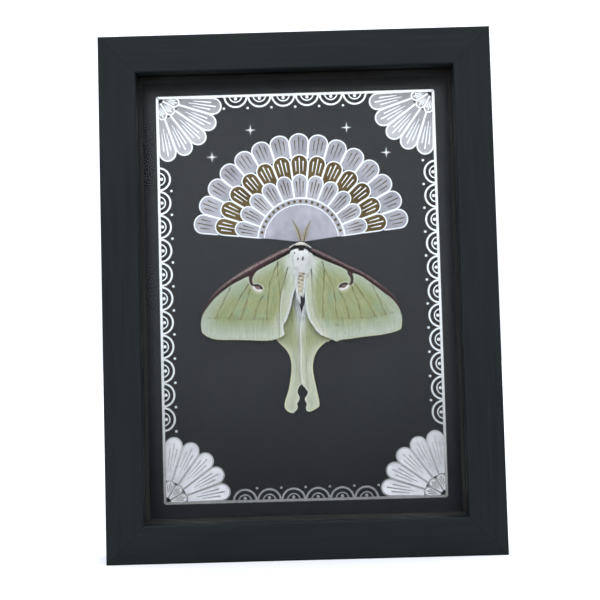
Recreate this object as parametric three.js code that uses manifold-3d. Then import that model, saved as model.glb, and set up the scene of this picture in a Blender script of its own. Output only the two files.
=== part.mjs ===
// A framed moth specimen: a mitred wooden shadow box, glazed in front, with a green long-tailed moth
// spread on a card inside it. Millimetres, +Z up. The frame stands on its bottom rail and faces -Y.
// The origin is under the middle of the frame, on the surface that it stands on.

import * as THREE from 'three';
import { mergeVertices } from 'three/addons/utils/BufferGeometryUtils.js';
import Module from 'manifold-3d';

const wasm = await Module();
wasm.setup();

// Driving dimensions of the case: a 6 x 8 in frame for a 5 x 7 in insert.
const INCH = 25.4;
const FRAME_WIDTH = 6 * INCH;
const FRAME_HEIGHT = 8 * INCH;
const FRAME_DEPTH = 28;
const INSERT_WIDTH = 5 * INCH;
const INSERT_HEIGHT = 7 * INCH;
const RAIL_FACE = 14.6;
const RABBET_WIDTH = 3.2;
const LIP_DEPTH = 5;
const EDGE_ROUND = 0.8;
const FIT_GAP = 0.3;
const MITRE_GAP = 0.15;

// The stack inside the rabbet, front to back.
const GLASS_THICKNESS = 2;
const SPACER_DEPTH = 9.8;
const CARD_THICKNESS = 0.5;
const BOARD_THICKNESS = 3;

// Framer's points and the hanger on the back.
const POINT_LENGTH = 13;
const POINT_WIDTH = 7;
const POINT_THICKNESS = 0.6;
const POINT_DRIVEN = 5;
const SIDE_POINT_HEIGHTS = [0.28, 0.72];
const HANGER_LENGTH = 48;
const HANGER_WIDTH = 9;
const HANGER_SHEET = 0.8;
const HANGER_RISE = 1.6;
const HANGER_FOOT = 8;
const HANGER_SLOPE = 2;
const HANGER_DROP = 16;
const TOOTH_PITCH = 2.4;
const TOOTH_DEPTH = 2.2;
const TOOTH_COUNT = 11;
const RIVET_HOLE_RADIUS = 1.4;
const RIVET_RADIUS = 1;
const RIVET_HEAD_RADIUS = 2.2;
const RIVET_HEAD_HEIGHT = 1;
const RIVET_DOME_STEPS = 3;
const ROUND_SEGMENTS = 16;
const CUT_MARGIN = 1;

// The moth: where its thorax is on the card, and how far its pieces stand off the card.
const MOTH_X = 0.6;
const MOTH_Z = 116;
const BODY_HEIGHT = 3.8;
const BODY_LEAN = 0.045;
const BODY_SEGMENTS = 20;
const WING_THICKNESS = 0.4;
const COSTA_THICKNESS = 1;
const COSTA_SHARE = 0.07;
const FOREWING_ROOT_HEIGHT = 4.9;
const FOREWING_TIP_HEIGHT = 2.8;
const FOREWING_CAMBER = 0.5;
const COSTA_TAPER = 0.6;
const HINDWING_LEFT_HEIGHT = 1.8;
const HINDWING_RIGHT_HEIGHT = 2.9;
const TAIL_DROP = 0.5;
const ANTENNA_LENGTH = 8.8;
const ANTENNA_HALF_WIDTH = 0.8;
const ANTENNA_STEM = 0.2;
const ANTENNA_THICKNESS = 0.4;
const ANTENNA_TEETH = 16;
const ANTENNA_TOOTH_SWEEP = 0.4;

// Places worked out from the driving dimensions. Depths count from the front of the frame.
const HALF_WIDTH = FRAME_WIDTH / 2;
const HALF_HEIGHT = FRAME_HEIGHT / 2;
const FRONT_Y = -FRAME_DEPTH / 2;
const LEG_WIDTH = RAIL_FACE - RABBET_WIDTH;
const RABBET_HALF_WIDTH = HALF_WIDTH - LEG_WIDTH;
const RABBET_HALF_HEIGHT = HALF_HEIGHT - LEG_WIDTH;
const GLASS_FRONT = LIP_DEPTH + FIT_GAP;
const SPACER_FRONT = GLASS_FRONT + GLASS_THICKNESS + FIT_GAP;
const CARD_FRONT = SPACER_FRONT + SPACER_DEPTH + FIT_GAP;
const BOARD_FRONT = CARD_FRONT + CARD_THICKNESS + FIT_GAP;
const BOARD_BACK = BOARD_FRONT + BOARD_THICKNESS;
const POINT_FRONT = BOARD_BACK + FIT_GAP;
const HANGER_FRONT = BOARD_BACK + FIT_GAP;
const SPACER_THICKNESS = RABBET_WIDTH - FIT_GAP;

// Outlines of the wings, seen from the front, as (x, z) from the middle of the thorax. The front edge
// and the rear edge both run from the root to the tip, in step with each other.
const FOREWING_LEFT = {
  front: [[-4.6, 4.4], [-8.4, 2.8], [-12.3, 0.9], [-18.3, -2.2], [-24.3, -5.7], [-29.8, -9.2], [-34.8, -13.3],
    [-38.9, -18.8], [-40.4, -25.5]],
  rear: [[-4.1, 3.2], [-3.8, -4], [-3.3, -11.8], [-4.6, -19.3], [-7.6, -26.3], [-7.3, -30.3], [-14, -32.3],
    [-29, -31.7], [-39, -29.2]],
};
const FOREWING_RIGHT = {
  front: [[4.6, 3.6], [8, 2], [11.5, -0.1], [17.3, -3.4], [23.2, -6.8], [28.9, -10.4], [34, -14.2],
    [37.8, -18.9], [39.4, -25.5]],
  rear: [[4.1, 2.4], [3.5, -4], [1.7, -11], [1.4, -17.5], [2.7, -24.5], [6.3, -30.2], [13.6, -33.2],
    [27, -31.6], [38.4, -29.3]],
};
const HINDWING_LEFT = {
  front: [[-3.2, -6.5], [-9, -15], [-13.6, -24], [-10.4, -32.2], [-6.5, -36.6], [-5, -42], [-5.4, -47.5],
    [-6.5, -52.4], [-7.9, -57], [-7.4, -59.9], [-5.9, -61]],
  rear: [[-2.6, -6.5], [-1.6, -13], [-0.9, -20], [-0.9, -30], [-1.1, -36.6], [-1.2, -42], [-1, -49],
    [-2.6, -52.4], [-2, -55.7], [-3, -58.9], [-4.8, -61]],
};
const HINDWING_RIGHT = {
  front: [[2.4, -6.5], [8, -15], [12.6, -24], [10.5, -33], [5.6, -36.6], [3.7, -42], [4, -47.5], [5, -53],
    [5.6, -57.4], [4.4, -59.7], [2.4, -60.8]],
  rear: [[1.2, -6.5], [0.9, -14], [-0.4, -21.5], [-1.2, -30.5], [-1.2, -36.6], [-1.5, -43], [-1, -48.8],
    [1.2, -53], [0.1, -56.1], [0.5, -59.6], [1.4, -60.8]],
};

// The body's outline from the end of the abdomen to the top of the head, as (radius, z).
const BODY_OUTLINE = [
  [0, -16], [0.8, -15.6], [1.2, -13.5], [1.45, -10], [1.55, -6.5], [2, -4.6], [2.9, -3], [3.5, -0.5],
  [3.5, 1.5], [3, 3.2], [2.1, 4.2], [2, 4.8], [2.1, 5.6], [1.6, 6.4], [0.8, 6.8], [0, 6.9],
];

// Feet and lean of the two antennae.
const ANTENNAE = {
  antenna_left: { x: 0.2, z: 7.2, lean: 0.4 },
  antenna_right: { x: 1.5, z: 7.2, lean: -0.36 },
};

function finish(color, roughness, metalness = 0) {
  return new THREE.MeshStandardMaterial({ color, roughness, metalness });
}

const BLACK_PAINT = finish('#292d30', 0.45);
const BLACK_BOARD = finish('#1f2022', 0.8);
const BLACK_CARD = finish('#3d4045', 0.5);
const HARDBOARD = finish('#6b4a30', 0.8);
const STEEL = finish('#a9adb0', 0.35, 1);
const WHITE_HAIR = finish('#dedee1', 0.9);
const GREEN_WING = finish('#a3b08d', 0.8);
const STRAW_FEATHER = finish('#8c7a58', 0.8);
const CLEAR_GLASS = new THREE.MeshStandardMaterial({
  color: '#eef4f2',
  roughness: 0.05,
  transparent: true,
  opacity: 0.15,
});

// Leaves only positions on a geometry, with shared corners merged, and turns its faces outwards.
function weld(geometry) {
  geometry.deleteAttribute('normal');
  geometry.deleteAttribute('uv');
  const welded = mergeVertices(geometry, 1e-4);
  const corners = welded.index.array;
  const points = welded.attributes.position;
  const [a, b, c] = [new THREE.Vector3(), new THREE.Vector3(), new THREE.Vector3()];
  let volume = 0;
  for (let i = 0; i < corners.length; i += 3) {
    a.fromBufferAttribute(points, corners[i]);
    b.fromBufferAttribute(points, corners[i + 1]);
    c.fromBufferAttribute(points, corners[i + 2]);
    volume += a.dot(b.cross(c));
  }
  if (volume < 0) {
    corners.reverse();
  }
  return welded;
}

// Moves every point of a geometry to where the function puts it.
function reshape(geometry, place) {
  const points = geometry.attributes.position;
  const point = new THREE.Vector3();
  for (let i = 0; i < points.count; i += 1) {
    point.fromBufferAttribute(points, i);
    place(point);
    points.setXYZ(i, point.x, point.y, point.z);
  }
  return weld(geometry);
}

function solidOf(geometry) {
  const welded = weld(geometry);
  return new wasm.Manifold(new wasm.Mesh({
    numProp: 3,
    vertProperties: new Float32Array(welded.attributes.position.array),
    triVerts: new Uint32Array(welded.index.array),
  }));
}

// Cuts the tools out of a geometry.
function cut(geometry, tools) {
  let solid = solidOf(geometry);
  for (const tool of tools) {
    solid = solid.subtract(solidOf(tool));
  }
  const mesh = solid.getMesh();
  const result = new THREE.BufferGeometry();
  result.setAttribute('position', new THREE.BufferAttribute(mesh.vertProperties, 3));
  result.setIndex(new THREE.BufferAttribute(mesh.triVerts, 1));
  return result;
}

const part = new THREE.Group();

function add(name, geometry, material, parent = part) {
  const mesh = new THREE.Mesh(geometry, material);
  mesh.name = name;
  parent.add(mesh);
  return mesh;
}

// A flat box given by its width, height and depth, with its front at a depth from the frame's front.
function slab(width, height, depth, front, x = 0, z = HALF_HEIGHT) {
  const geometry = weld(new THREE.BoxGeometry(width, depth, height));
  return geometry.translate(x, FRONT_Y + front + depth / 2, z);
}

// The moulding's section: x counts inwards from the frame's outer side, y back from its front.
function mouldingSection() {
  const shape = new THREE.Shape();
  shape.moveTo(0, EDGE_ROUND);
  shape.absarc(EDGE_ROUND, EDGE_ROUND, EDGE_ROUND, Math.PI, 1.5 * Math.PI);
  shape.absarc(RAIL_FACE - EDGE_ROUND, EDGE_ROUND, EDGE_ROUND, 1.5 * Math.PI, 2 * Math.PI);
  shape.lineTo(RAIL_FACE, LIP_DEPTH);
  shape.lineTo(LEG_WIDTH, LIP_DEPTH);
  shape.lineTo(LEG_WIDTH, FRAME_DEPTH);
  shape.lineTo(0, FRAME_DEPTH);
  return shape;
}

// A rail with both ends mitred. It lies along X with its outer side down, on z = 0.
function railGeometry(halfLength) {
  const blank = new THREE.ExtrudeGeometry(mouldingSection(), {
    depth: 2,
    steps: 1,
    curveSegments: 4,
    bevelEnabled: false,
  });
  return reshape(blank, (point) => {
    const inwards = point.x;
    const end = point.z - 1;
    point.set(end * (halfLength - inwards - MITRE_GAP), FRONT_Y + point.y, inwards);
  });
}

// Where the framer's points are: along a rail, and the rail's turn about Y.
const SIDE_POINTS = SIDE_POINT_HEIGHTS.map((share) => FRAME_HEIGHT * (share - 0.5));
const RAILS = {
  rail_bottom: { half: HALF_WIDTH, reach: HALF_HEIGHT, turn: 0, points: [0] },
  rail_left: { half: HALF_HEIGHT, reach: HALF_WIDTH, turn: Math.PI / 2, points: SIDE_POINTS },
  rail_top: { half: HALF_WIDTH, reach: HALF_HEIGHT, turn: Math.PI, points: [0] },
  rail_right: { half: HALF_HEIGHT, reach: HALF_WIDTH, turn: -Math.PI / 2, points: SIDE_POINTS },
};

// A framer's point across the rabbet's wall, in the frame of a rail that lies along X. Its driven end
// is inside the rail, in a slot with room around it.
function pointGeometry(along, room) {
  const geometry = weld(new THREE.BoxGeometry(
    POINT_WIDTH + 2 * room,
    POINT_THICKNESS + 2 * room,
    POINT_LENGTH + 2 * room,
  ));
  const depth = POINT_FRONT + POINT_THICKNESS / 2;
  return geometry.translate(along, FRONT_Y + depth, LEG_WIDTH - POINT_DRIVEN + POINT_LENGTH / 2);
}

let pointNumber = 0;
for (const [name, rail] of Object.entries(RAILS)) {
  const side = new THREE.Group();
  side.position.set(-rail.reach * Math.sin(rail.turn), 0, HALF_HEIGHT - rail.reach * Math.cos(rail.turn));
  side.rotation.y = rail.turn;
  part.add(side);
  const slots = rail.points.map((along) => pointGeometry(along, FIT_GAP));
  add(name, cut(railGeometry(rail.half), slots), BLACK_PAINT, side);
  for (const along of rail.points) {
    pointNumber += 1;
    add(`point_${pointNumber}`, pointGeometry(along, 0), STEEL, side);
  }
}

add('glass', slab(INSERT_WIDTH, INSERT_HEIGHT, GLASS_THICKNESS, GLASS_FRONT), CLEAR_GLASS);
add('backing_card', slab(INSERT_WIDTH, INSERT_HEIGHT, CARD_THICKNESS, CARD_FRONT), BLACK_CARD);
add('back_board', slab(INSERT_WIDTH, INSERT_HEIGHT, BOARD_THICKNESS, BOARD_FRONT), HARDBOARD);

// Spacer strips line the rabbet between the glass and the card, flush with the lip's inner edge.
const SPACER_X = RABBET_HALF_WIDTH - FIT_GAP - SPACER_THICKNESS / 2;
const SPACER_Z = RABBET_HALF_HEIGHT - FIT_GAP - SPACER_THICKNESS / 2;
const SPACER_LENGTH = 2 * (RABBET_HALF_WIDTH - FIT_GAP);
const SIDE_SPACER_LENGTH = 2 * (SPACER_Z - SPACER_THICKNESS / 2 - FIT_GAP);
for (const [name, up] of [['spacer_bottom', -1], ['spacer_top', 1]]) {
  const z = HALF_HEIGHT + up * SPACER_Z;
  add(name, slab(SPACER_LENGTH, SPACER_THICKNESS, SPACER_DEPTH, SPACER_FRONT, 0, z), BLACK_BOARD);
}
for (const [name, right] of [['spacer_left', -1], ['spacer_right', 1]]) {
  const x = right * SPACER_X;
  add(name, slab(SPACER_THICKNESS, SIDE_SPACER_LENGTH, SPACER_DEPTH, SPACER_FRONT, x), BLACK_BOARD);
}

// The hanger is a strip of sheet steel with flat feet and a raised middle, toothed along its lower edge.
function hangerGeometry() {
  const half = HANGER_LENGTH / 2;
  const foot = half - HANGER_FOOT;
  const crest = foot - HANGER_SLOPE;
  const bend = [[-half, 0], [-foot, 0], [-crest, HANGER_RISE], [crest, HANGER_RISE], [foot, 0], [half, 0]];
  const front = bend.map(([x, y]) => new THREE.Vector2(x, y));
  const back = bend.map(([x, y]) => new THREE.Vector2(x, y + HANGER_SHEET)).reverse();
  const strip = new THREE.ExtrudeGeometry(new THREE.Shape([...front, ...back]), {
    depth: HANGER_WIDTH,
    bevelEnabled: false,
  });
  const reach = HANGER_RISE + HANGER_SHEET + CUT_MARGIN;
  const tools = [];
  for (let i = 0; i < TOOTH_COUNT; i += 1) {
    const x = (i - (TOOTH_COUNT - 1) / 2) * TOOTH_PITCH;
    const notch = new THREE.Shape([
      new THREE.Vector2(x - TOOTH_PITCH / 2, -CUT_MARGIN),
      new THREE.Vector2(x + TOOTH_PITCH / 2, -CUT_MARGIN),
      new THREE.Vector2(x, TOOTH_DEPTH),
    ]);
    const tool = new THREE.ExtrudeGeometry(notch, { depth: 2 * reach, bevelEnabled: false });
    tools.push(tool.rotateX(Math.PI / 2).translate(0, reach, 0));
  }
  for (const side of [-1, 1]) {
    const hole = new THREE.CylinderGeometry(RIVET_HOLE_RADIUS, RIVET_HOLE_RADIUS, 2 * reach, ROUND_SEGMENTS);
    tools.push(hole.translate(side * (half - HANGER_FOOT / 2), 0, HANGER_WIDTH / 2));
  }
  return cut(strip, tools);
}

// A rivet's shank and domed head, along the lathe's axis.
function rivetGeometry() {
  const seat = HANGER_SHEET + FIT_GAP;
  const profile = [new THREE.Vector2(0, 0), new THREE.Vector2(RIVET_RADIUS, 0)];
  profile.push(new THREE.Vector2(RIVET_RADIUS, seat));
  for (let step = 0; step <= RIVET_DOME_STEPS; step += 1) {
    const angle = (step / RIVET_DOME_STEPS) * Math.PI / 2;
    const radius = step < RIVET_DOME_STEPS ? RIVET_HEAD_RADIUS * Math.cos(angle) : 0;
    profile.push(new THREE.Vector2(radius, seat + RIVET_HEAD_HEIGHT * Math.sin(angle)));
  }
  return weld(new THREE.LatheGeometry(profile, ROUND_SEGMENTS));
}

const hangerGroup = new THREE.Group();
const HANGER_Z = HALF_HEIGHT + INSERT_HEIGHT / 2 - HANGER_DROP;
hangerGroup.position.set(0, FRONT_Y + HANGER_FRONT, HANGER_Z);
part.add(hangerGroup);
add('sawtooth_hanger', hangerGeometry(), STEEL, hangerGroup);
for (const [name, side] of [['hanger_rivet_left', -1], ['hanger_rivet_right', 1]]) {
  const rivet = add(name, rivetGeometry(), STEEL, hangerGroup);
  rivet.position.set(side * (HANGER_LENGTH - HANGER_FOOT) / 2, 0, HANGER_WIDTH / 2);
}

// The moth's own frame: x to the right, y into the card, z towards its head.
const moth = new THREE.Group();
moth.position.set(MOTH_X, FRONT_Y + CARD_FRONT, MOTH_Z);
part.add(moth);

const edgeCurve = (points) => new THREE.CatmullRomCurve3(points.map(([x, z]) => new THREE.Vector3(x, 0, z)));

// A wing spans from its front edge to its rear edge. The height function gives how far it stands off
// the card at a share of the way out from the root and back from the front edge.
function wingGeometry({ outline, cells, height, thickness }) {
  const front = edgeCurve(outline.front);
  const rear = edgeCurve(outline.rear);
  const blank = new THREE.BoxGeometry(1, 1, 1, ...cells, 1);
  return reshape(blank, (point) => {
    const out = point.x + 0.5;
    const back = point.y + 0.5;
    const face = point.z;
    point.lerpVectors(front.getPoint(out), rear.getPoint(out), back);
    point.y = -height(out, back) - face * thickness(out, back);
  });
}

const forewingHeight = (out, back) => {
  const fall = (FOREWING_ROOT_HEIGHT - FOREWING_TIP_HEIGHT) * out ** 2;
  const camber = FOREWING_CAMBER * Math.sin(Math.PI * out) * Math.sin(Math.PI * back);
  return FOREWING_ROOT_HEIGHT - fall + camber;
};
const forewingThickness = (out, back) => {
  const vein = Math.exp(-((back / COSTA_SHARE) ** 2)) * (1 - COSTA_TAPER * out);
  return WING_THICKNESS + (COSTA_THICKNESS - WING_THICKNESS) * vein;
};
const hindwingHeight = (base) => (out) => base - TAIL_DROP * out;
const hindwingThickness = () => WING_THICKNESS;

const FORE = { cells: [16, 12], height: forewingHeight, thickness: forewingThickness };
const HIND = { cells: [24, 6], thickness: hindwingThickness };
const WINGS = {
  forewing_left: { outline: FOREWING_LEFT, ...FORE },
  forewing_right: { outline: FOREWING_RIGHT, ...FORE },
  hindwing_left: { outline: HINDWING_LEFT, height: hindwingHeight(HINDWING_LEFT_HEIGHT), ...HIND },
  hindwing_right: { outline: HINDWING_RIGHT, height: hindwingHeight(HINDWING_RIGHT_HEIGHT), ...HIND },
};
for (const [name, wing] of Object.entries(WINGS)) {
  add(name, wingGeometry(wing), GREEN_WING, moth);
}

// Head, thorax and abdomen are one turned form, leaning a little, whose thorax rests on the card.
function bodyGeometry() {
  const profile = BODY_OUTLINE.map(([radius, z]) => new THREE.Vector2(radius, z));
  const blank = new THREE.LatheGeometry(profile, BODY_SEGMENTS);
  return reshape(blank, (point) => {
    const z = point.y;
    point.set(point.x + BODY_LEAN * z, point.z - BODY_HEIGHT, z);
  });
}
add('moth_body', bodyGeometry(), WHITE_HAIR, moth);

// A feathered antenna is a comb along both sides of a stem, widest below its middle.
function antennaGeometry() {
  const tips = [];
  for (let i = 0; i < ANTENNA_TEETH; i += 1) {
    const share = (i + 0.5) / ANTENNA_TEETH;
    const reach = ANTENNA_HALF_WIDTH * Math.sin(Math.PI * Math.sqrt(share)) + ANTENNA_STEM;
    const pitch = ANTENNA_LENGTH / ANTENNA_TEETH;
    const z = share * (ANTENNA_LENGTH - ANTENNA_TOOTH_SWEEP);
    tips.push([ANTENNA_STEM, z - pitch / 2], [reach, z + ANTENNA_TOOTH_SWEEP]);
  }
  const right = tips.map(([x, z]) => new THREE.Vector2(x, z));
  const left = tips.map(([x, z]) => new THREE.Vector2(-x, z)).reverse();
  const tip = new THREE.Vector2(0, ANTENNA_LENGTH);
  const comb = new THREE.ExtrudeGeometry(new THREE.Shape([...right, tip, ...left]), {
    depth: ANTENNA_THICKNESS,
    bevelEnabled: false,
  });
  return weld(comb).rotateX(Math.PI / 2);
}
for (const [name, foot] of Object.entries(ANTENNAE)) {
  const antenna = add(name, antennaGeometry(), STRAW_FEATHER, moth);
  antenna.position.set(foot.x, -BODY_HEIGHT, foot.z);
  antenna.rotation.y = -foot.lean;
}

export default part;
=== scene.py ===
"""Looks of a framed moth specimen: a black shadow box with a green long-tailed moth on a printed card.

Sizes are millimetres until they are handed to a mesh or a texture, which are in metres. The frame stands on
its bottom rail and faces -Y, so x runs to the right and z up in every outline below.
"""

import math

import bmesh
import bpy
import numpy as np
from mathutils import Matrix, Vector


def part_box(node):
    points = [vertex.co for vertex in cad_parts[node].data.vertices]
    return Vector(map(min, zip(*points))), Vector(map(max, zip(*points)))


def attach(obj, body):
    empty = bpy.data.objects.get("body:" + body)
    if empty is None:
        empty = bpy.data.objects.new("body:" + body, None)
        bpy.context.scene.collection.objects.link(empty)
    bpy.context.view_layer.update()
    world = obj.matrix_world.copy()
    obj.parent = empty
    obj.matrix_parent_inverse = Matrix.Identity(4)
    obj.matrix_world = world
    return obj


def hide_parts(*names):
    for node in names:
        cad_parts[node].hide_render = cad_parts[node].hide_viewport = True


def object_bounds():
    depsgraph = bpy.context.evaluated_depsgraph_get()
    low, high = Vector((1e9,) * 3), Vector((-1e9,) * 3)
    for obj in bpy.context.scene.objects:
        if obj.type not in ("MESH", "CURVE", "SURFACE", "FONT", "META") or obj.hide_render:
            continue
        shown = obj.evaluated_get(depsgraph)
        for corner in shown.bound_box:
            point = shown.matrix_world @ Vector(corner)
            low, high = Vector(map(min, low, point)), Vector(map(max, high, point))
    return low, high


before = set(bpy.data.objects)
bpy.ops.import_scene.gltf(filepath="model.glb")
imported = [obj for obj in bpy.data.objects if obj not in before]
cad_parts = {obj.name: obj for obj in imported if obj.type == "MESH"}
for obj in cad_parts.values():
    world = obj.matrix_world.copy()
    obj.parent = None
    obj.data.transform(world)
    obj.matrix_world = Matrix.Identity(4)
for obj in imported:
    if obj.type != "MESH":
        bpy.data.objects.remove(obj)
cad_box = [list(corner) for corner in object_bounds()]

MM = 0.001
random = np.random.default_rng(7)

# The case: its outside from the frame, and its moulding's section.
HALF_WIDTH = cad_box[1][0] / MM
HALF_HEIGHT = cad_box[1][2] / MM / 2
FRAME_DEPTH = (cad_box[1][1] - cad_box[0][1]) / MM
RAIL_FACE = 14.6
RABBET_WIDTH = 3.2
LIP_DEPTH = 5
EDGE_ROUND = 0.8
HAIRLINE = 0.04
GROOVE_DEPTH = 0.5

# Where the moth sits: the middle of its thorax on the card, and the height of its body's axis.
MOTH_X = 0.6
MOTH_Z = 116
BODY_HEIGHT = 3.8
BODY_LEAN = 0.045
CARD_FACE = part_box("backing_card")[0].y / MM

# The forewings stand off the card, highest at the root, with a light camber.
ROOT_HEIGHT = 5.0
TIP_FALL = 2.1
CAMBER = 0.5
COSTA_RISE = 0.55
VEIN_RISE = 0.1
PLEAT_RISE = 0.07
WING_SHEET = 0.16
FRAY = 0.22
FOREWING_CELLS = (200, 150)
HINDWING_CELLS = (230, 60)

# Markings of a forewing: how far from the body the width of the maroon band along its front edge is given,
# how sharply the stem of the eyespot turns out of that band, the half-widths of a stem, a vein and an
# eyespot, the height of the line across the wing, and the place that its streaks fan out from.
BAND_PLACES = (4, 8, 12, 15.5, 20, 24, 28, 33, 37.5, 40.2)
FILLET = 2.2
STEM_HALF = 0.7
VEIN_HALF = 0.21
EYE_HALF = (1.9, 1.25)
LINE_HEIGHT = -23.5
STREAK_FOCUS = (6.3, 14.8)

# Outlines and markings of the wings, from the middle of the thorax, with how strong each forewing's painted
# highlight is on its front edge and at its fold.
FOREWING_LEFT = {
    "front": [(-4.6, 4.5), (-8.2, 3.1), (-12.3, 1.2), (-18.3, -1.8), (-24.3, -5.2), (-29.8, -8.8),
              (-34.8, -13), (-37.2, -16), (-38.9, -18.8), (-39.9, -21.5), (-40.4, -24.3)],
    "inner": [(-4.1, 3.2), (-2.6, -4), (-1.8, -7.9), (-2.5, -11.8), (-3.4, -14.6), (-4.9, -20.5),
              (-6.6, -24.8), (-7.6, -26.3), (-7.5, -28.6), (-7.3, -30.3)],
    "margin": [(-7.3, -30.3), (-8.3, -30.9), (-10.3, -31.8), (-13.1, -32.3), (-16.3, -32.3), (-21, -32),
               (-26.9, -31.7), (-32.8, -31.5), (-36, -30.9), (-38.3, -29.8), (-39.7, -28.6), (-40.2, -26.6)],
    "veins": [
        [(-9.1, -1.3), (-10.4, -4.5), (-12.1, -8.4), (-13.2, -14.3), (-13.8, -20.2), (-14.1, -24.2)],
        [(-9.1, -1.3), (-9.3, -6.5), (-8.8, -10.5), (-8.7, -14.4)],
        [(-20.8, -9.7), (-24.5, -15.2), (-27.4, -20.7), (-29.1, -23.2)],
        [(-28, -10.7), (-30.9, -16.2), (-34.2, -22.8)],
        [(-20.5, -12.1), (-21.4, -15.3), (-22.7, -19.2), (-24.3, -23.5)],
        [(-15.4, -14.7), (-17.1, -17.4), (-19.2, -23.7)],
    ],
    "fold": [(-5.3, -3.8), (-6.6, -8.6), (-7.7, -12.5), (-8.4, -16.4), (-9, -24.3), (-9.1, -29.9)],
    "band": (2.4, 2.8, 2.9, 2.9, 3, 2.6, 2.1, 1.8, 1.1, 0.1),
    # How strong the painted highlight on the rolled front edge is, and the painted highlight and shade at the
    # fold.
    "sheen": 1,
    "fold_highlight": 0.9,
    "line": [(-37.4, -22.8), (-29.1, -23.2), (-19.2, -23.7), (-9.2, -23.9)],
    "spots": [(-34.2, -22.9), (-29.1, -23.2), (-24.3, -23.5), (-19.2, -23.7), (-14.1, -23.8)],
    "eye": (-17.3, -11.4, -25),
    "stem": [(-19.2, -5.4), (-19.9, -7.2), (-20, -9), (-19.2, -10.4), (-18.5, -10.6)],
}
FOREWING_RIGHT = {
    "front": [(4.6, 3.8), (7.6, 2.5), (11.5, 0.5), (17.3, -2.7), (23.2, -5.7), (28.9, -9.4), (34, -13.4),
              (36.3, -15.9), (37.8, -18.2), (38.8, -20.8), (39.3, -23.5)],
    "inner": [(4.1, 2.4), (2.5, -4), (1.5, -7.9), (1.2, -12), (1.2, -17.5), (1.6, -20.7), (2.7, -24.8),
              (4, -26.9), (5.1, -28.7), (7, -30.7)],
    "margin": [(7, -30.7), (9.8, -31.9), (12.1, -32.9), (13.5, -33.4), (14.5, -32.9), (18.4, -32.5),
               (22.4, -32), (26.3, -31.6), (30.3, -31.3), (34.3, -30.6), (37, -29.9), (38.7, -29),
               (39.1, -27.6), (39.4, -25.7)],
    "veins": [
        [(8.3, -1.8), (9.4, -5), (10.9, -8.2), (12.2, -11.1), (13, -17), (13.3, -21), (13.6, -24.2)],
        [(9, -5), (8.8, -11), (8.3, -16), (8.2, -24)],
        [(20.3, -9.7), (24.1, -15.4), (27.1, -20.2), (28.6, -23.8)],
        [(27.8, -11.5), (30.7, -17.5), (32.9, -23.1)],
        [(19.5, -11.3), (22, -18.1), (23.4, -24.4)],
        [(14.7, -13.1), (17.3, -18.7), (18.3, -24.3)],
    ],
    "fold": [(4, -4.6), (4.1, -9.3), (4.2, -16), (5.2, -23), (8, -29.5)],
    "band": (2.4, 2.6, 2.3, 1.9, 2, 1.6, 1.9, 1.9, 0.8, -0.3),
    # How strong the painted highlight on the rolled front edge is, and the painted highlight and shade at the
    # fold.
    "sheen": 0.6,
    "fold_highlight": 0,
    "line": [(36, -22.5), (28.6, -23.8), (23.4, -24.4), (13.6, -24.2), (8, -24)],
    "spots": [(32.9, -23.1), (28.6, -23.8), (23.4, -24.4), (18.4, -24.3), (13.5, -26.9)],
    "eye": (16.6, -11.7, 21),
    "stem": [(19, -6.5), (19.9, -8.5), (19.7, -10.5), (18.9, -11.2)],
}
HINDWING_LEFT = {
    "base": 1.8,
    "front": [(-3.2, -6.5), (-9, -15), (-13.6, -24), (-10.4, -32.2), (-9.2, -33.6), (-6.5, -36.6),
              (-5.2, -39.8), (-4.9, -43.4), (-5.5, -48.1), (-6.4, -52.4), (-7.5, -55.5), (-7.9, -57),
              (-8, -58.8), (-7.5, -59.8), (-6.6, -60.6), (-5.4, -61.1)],
    "inner": [(-2.6, -6.5), (-1.6, -13), (-1.1, -18), (-0.4, -21.6), (-0.9, -30), (-1.1, -36.6), (-1.2, -42),
              (-1, -49.8), (-1.8, -50.5), (-2.8, -52.5), (-2.2, -54.6), (-2, -55.6), (-3.1, -57.5),
              (-2.9, -58.9), (-3.4, -60.1), (-4.4, -60.9)],
    "rib": [(-4, -20), (-4.2, -32), (-3, -42), (-3.4, -52), (-4.8, -58.5)],
}
HINDWING_RIGHT = {
    "base": 2.9,
    "front": [(2.4, -6.5), (8, -15), (12.6, -24), (10.5, -33), (8.9, -33.6), (5.9, -36.2), (4.2, -39.5),
              (3.5, -43.6), (3.9, -47.1), (5, -53.1), (5.6, -56.2), (5.6, -58.6), (3.9, -59.9), (1.9, -60.8)],
    "inner": [(1.4, -6.5), (1.4, -14), (1.2, -17), (-0.3, -21.6), (-1.2, -27.7), (-1.1, -36.4), (-1.5, -44.2),
              (-1.1, -48.6), (-0.8, -50), (0.7, -52), (1.3, -53), (0.5, -54.9), (0, -56), (0.8, -58),
              (0.4, -58.8), (0.5, -60), (1.1, -60.6)],
    "rib": [(3, -20), (2.6, -32), (1, -42), (1.8, -52), (2.8, -58)],
}

# The body's outline from the end of the abdomen to the top of the head, as (radius, z).
BODY_OUTLINE = [(0, -15.3), (0.7, -15), (1.1, -13.2), (1.4, -10), (1.65, -7), (2.2, -4.8), (2.9, -2.6),
                (3.4, -0.4), (3.5, 1.5), (3.1, 2.8), (2.6, 3.8), (2.4, 4.5), (2.1, 5.1), (1.6, 5.7),
                (0.85, 6.2), (0, 6.35)]
SEGMENT_PITCH = 1.4

# Dark rubbed spots on the thorax, as (x, z, size).
RUBBED_SPOTS = ((-2.5, 1.9, 0.32), (0.8, -0.4, 0.36), (-1.2, -0.5, 0.16))

# Lines over the body from the left wing root to the right: the black collar, and the pale fringe above it.
COLLAR = [(-7, 1.2), (-4.6, 2.7), (-3, 4), (-1, 4.35), (1.9, 4.1), (3.7, 2.5), (6.5, 0.8)]
FRINGE = [(-4.2, 4.1), (-2.9, 5), (-1.5, 5.5), (0.2, 5.75), (1.6, 5.45), (2.6, 4.9), (3.8, 3.9)]
BROW = [(-1.5, 6.1), (0, 6.45), (1.6, 6.15)]

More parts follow.
